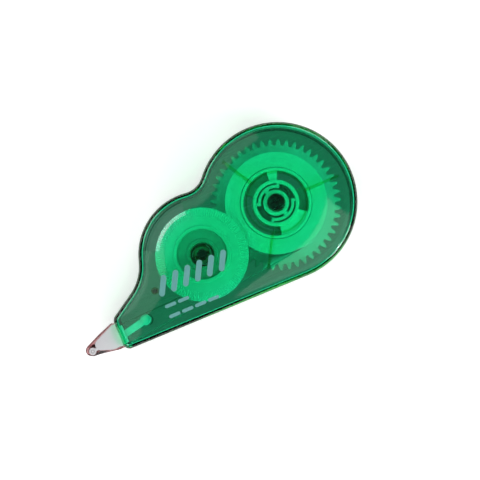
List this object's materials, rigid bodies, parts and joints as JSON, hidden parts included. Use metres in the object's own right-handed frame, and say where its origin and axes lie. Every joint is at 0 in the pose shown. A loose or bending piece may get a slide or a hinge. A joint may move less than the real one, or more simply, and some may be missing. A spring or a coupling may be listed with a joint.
{
  "type": "correction tape roller",
  "caption": "Palm-sized correction tape dispenser: translucent snap-together case, geared supply and take-up reels with slip clutch, wedge tip with roller.",
  "frame": {"origin": "on the supply reel's axis, at the outer face of the rear cover that the roller lies on", "axes": "+X from the take-up side to the supply side along the straight bottom edge, +Z along the reels' axes from the rear cover to the front cover"},
  "size_m": [0.0885, 0.0449, 0.015],
  "materials": {
    "green_clear_plastic": "clear tinted, polished",
    "smoke_clear_plastic": "clear tinted, polished",
    "white_plastic": "moulded satin",
    "coated_tape": "dry white coating on thin paper",
    "carrier_paper": "smooth release paper"
  },
  "bodies": {
    "case": {"rear_cover": "green_clear_plastic", "front_cover": "green_clear_plastic", "ratchet_pawl": "white_plastic", "tip_core": "white_plastic", "tip_rear_plate": "smoke_clear_plastic", "tip_front_plate": "smoke_clear_plastic", "feed_tape": "coated_tape", "return_tape": "carrier_paper"},
    "supply_drive": {"supply_gear": "white_plastic", "slip_clutch": "white_plastic"},
    "supply": {"supply_reel": "white_plastic", "supply_tape_roll": "coated_tape"},
    "takeup": {"takeup_gear": "white_plastic", "takeup_thumb_flange": "white_plastic", "takeup_tape_roll": "carrier_paper"},
    "roller": {"tip_roller": "white_plastic"}
  },
  "joints": [
    {"name": "supply_gear_spin", "type": "hinge", "parent": "case", "child": "supply_drive", "pos_m": [0, 0, 0.005], "axis": [0, 0, 1], "continuous": true},
    {"name": "supply_reel_slip", "type": "hinge", "parent": "supply_drive", "child": "supply", "pos_m": [0, 0, 0.008], "axis": [0, 0, 1], "continuous": true},
    {"name": "takeup_spin", "type": "hinge", "parent": "case", "child": "takeup", "pos_m": [-0.02494, -0.0053, 0.005], "axis": [0, 0, 1], "continuous": true},
    {"name": "tip_roller_spin", "type": "hinge", "parent": "case", "child": "roller", "pos_m": [-0.06375, -0.01845, 0.008], "axis": [0, 0, 1], "continuous": true}
  ],
  "couplings": [
    {"joint": "takeup_spin", "follows": "supply_gear_spin", "ratio": -2.4}
  ]
}
